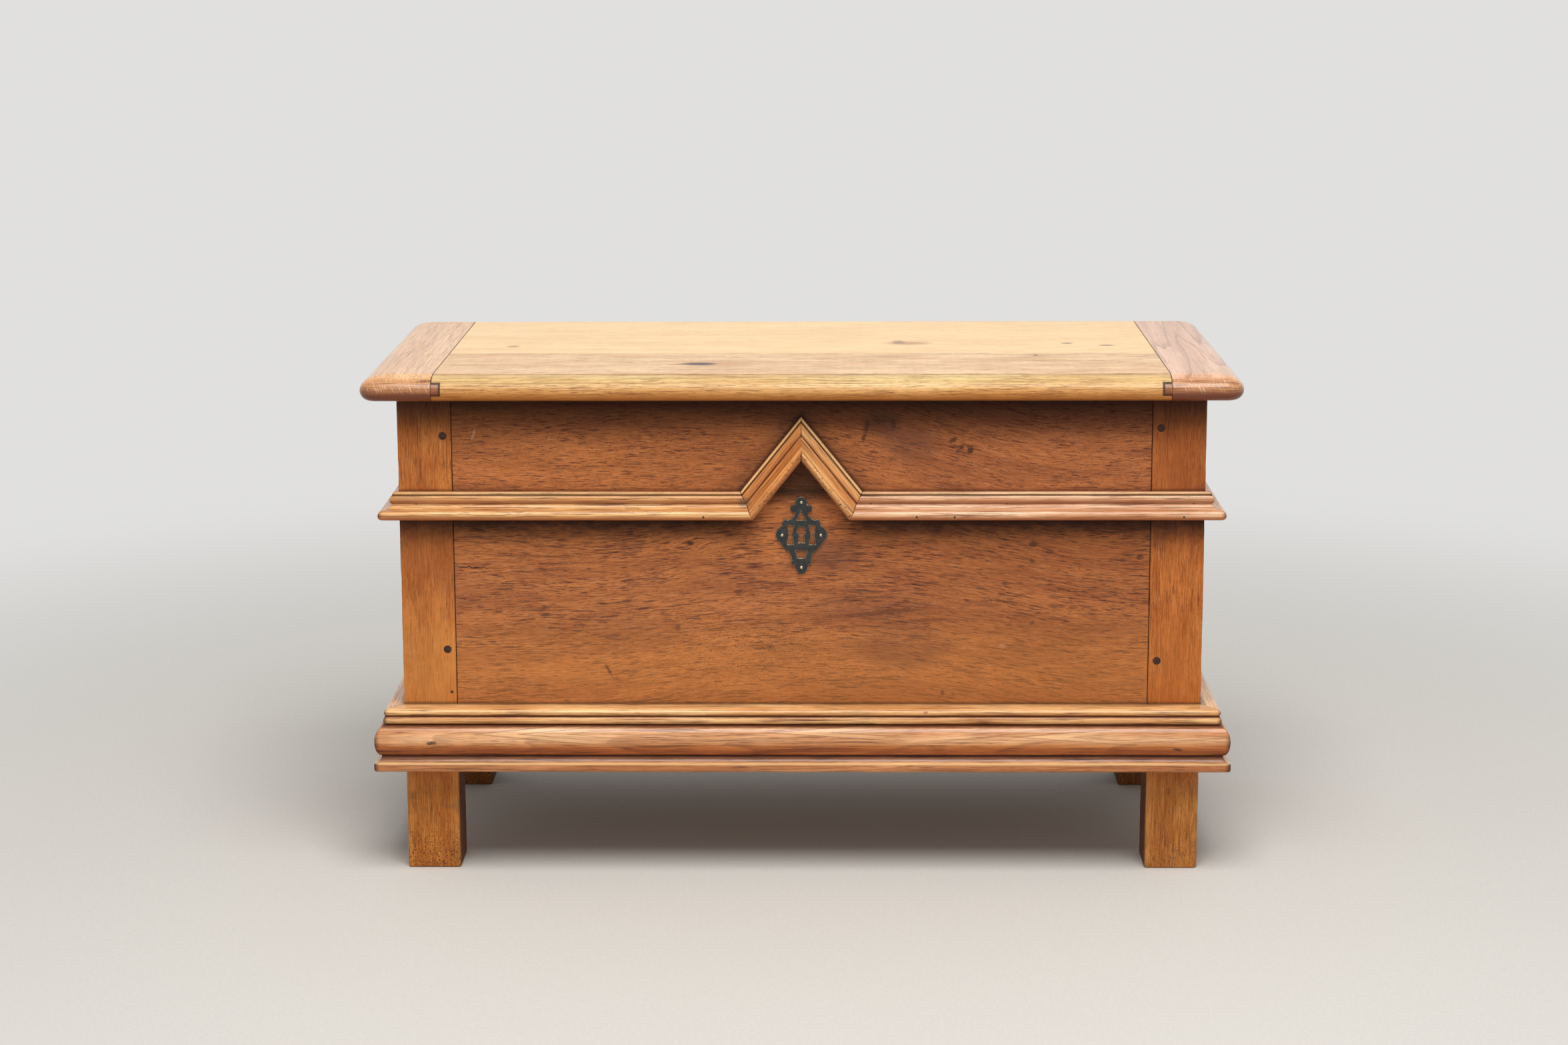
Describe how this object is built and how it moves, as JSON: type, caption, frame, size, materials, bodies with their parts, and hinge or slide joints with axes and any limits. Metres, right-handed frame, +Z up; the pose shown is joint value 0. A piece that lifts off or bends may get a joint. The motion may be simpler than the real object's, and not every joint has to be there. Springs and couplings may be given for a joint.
{
  "type": "storage chest",
  "caption": "Joined oak storage chest on post legs, with pegged boards, mitred mouldings that rise to a gable over a pierced iron escutcheon, and a hinged breadboard lid.",
  "frame": {"origin": "on the floor, under the middle of the closed chest's bounding box", "axes": "+X along the chest's length to the right as seen from the front, +Y from front to back, +Z up"},
  "size_m": [1.084, 0.538, 0.635],
  "materials": {
    "post_oak": "waxed orange-brown oak",
    "board_oak": "waxed red-brown oak",
    "moulding_oak": "waxed golden oak",
    "base_oak": "waxed red-gold oak",
    "lid_oak": "waxed pale golden oak",
    "lid_end_oak": "waxed tan oak",
    "peg_oak": "dark end grain",
    "inner_oak": "dry unwaxed oak",
    "black_iron": "blackened forged iron with rubbed edges",
    "pin_brass": "worn brass"
  },
  "bodies": {
    "case": {"front_left_post": "post_oak", "front_right_post": "post_oak", "back_left_post": "post_oak", "back_right_post": "post_oak", "front_board": "board_oak", "back_board": "board_oak", "left_side_board": "board_oak", "right_side_board": "board_oak", "front_left_peg_upper": "peg_oak", "front_left_peg_lower": "peg_oak", "front_right_peg_upper": "peg_oak", "front_right_peg_lower": "peg_oak", "back_left_peg_upper": "peg_oak", "back_left_peg_lower": "peg_oak", "back_right_peg_upper": "peg_oak", "back_right_peg_lower": "peg_oak", "left_front_peg_upper": "peg_oak", "left_front_peg_lower": "peg_oak", "left_back_peg_upper": "peg_oak", "left_back_peg_lower": "peg_oak", "right_front_peg_upper": "peg_oak", "right_front_peg_lower": "peg_oak", "right_back_peg_upper": "peg_oak", "right_back_peg_lower": "peg_oak", "bottom_board_1": "inner_oak", "bottom_board_2": "inner_oak", "bottom_board_3": "inner_oak", "left_ledger": "inner_oak", "right_ledger": "inner_oak", "base_bead_front": "moulding_oak", "base_bead_left": "moulding_oak", "base_bead_right": "moulding_oak", "base_torus_front": "base_oak", "base_torus_left": "base_oak", "base_torus_right": "base_oak", "mid_moulding_left": "moulding_oak", "mid_moulding_right": "moulding_oak", "mid_moulding_left_side": "moulding_oak", "mid_moulding_right_side": "moulding_oak", "gable_left": "moulding_oak", "gable_right": "moulding_oak", "escutcheon": "black_iron", "escutcheon_pin_top": "pin_brass", "escutcheon_pin_left": "pin_brass", "escutcheon_pin_right": "pin_brass", "escutcheon_pin_bottom": "pin_brass", "left_hinge_leaf": "black_iron", "left_hinge_pin": "black_iron", "right_hinge_leaf": "black_iron", "right_hinge_pin": "black_iron"},
    "lid": {"lid_front_board": "lid_oak", "lid_middle_board": "lid_oak", "lid_back_board": "lid_oak", "lid_left_end": "lid_end_oak", "lid_right_end": "lid_end_oak", "left_hinge_strap": "black_iron", "right_hinge_strap": "black_iron"}
  },
  "joints": [
    {"name": "lid_hinge", "type": "hinge", "parent": "case", "child": "lid", "pos_m": [0, 0.2313, 0.5977], "axis": [-1, 0, 0], "range_deg": [0, 105]}
  ]
}
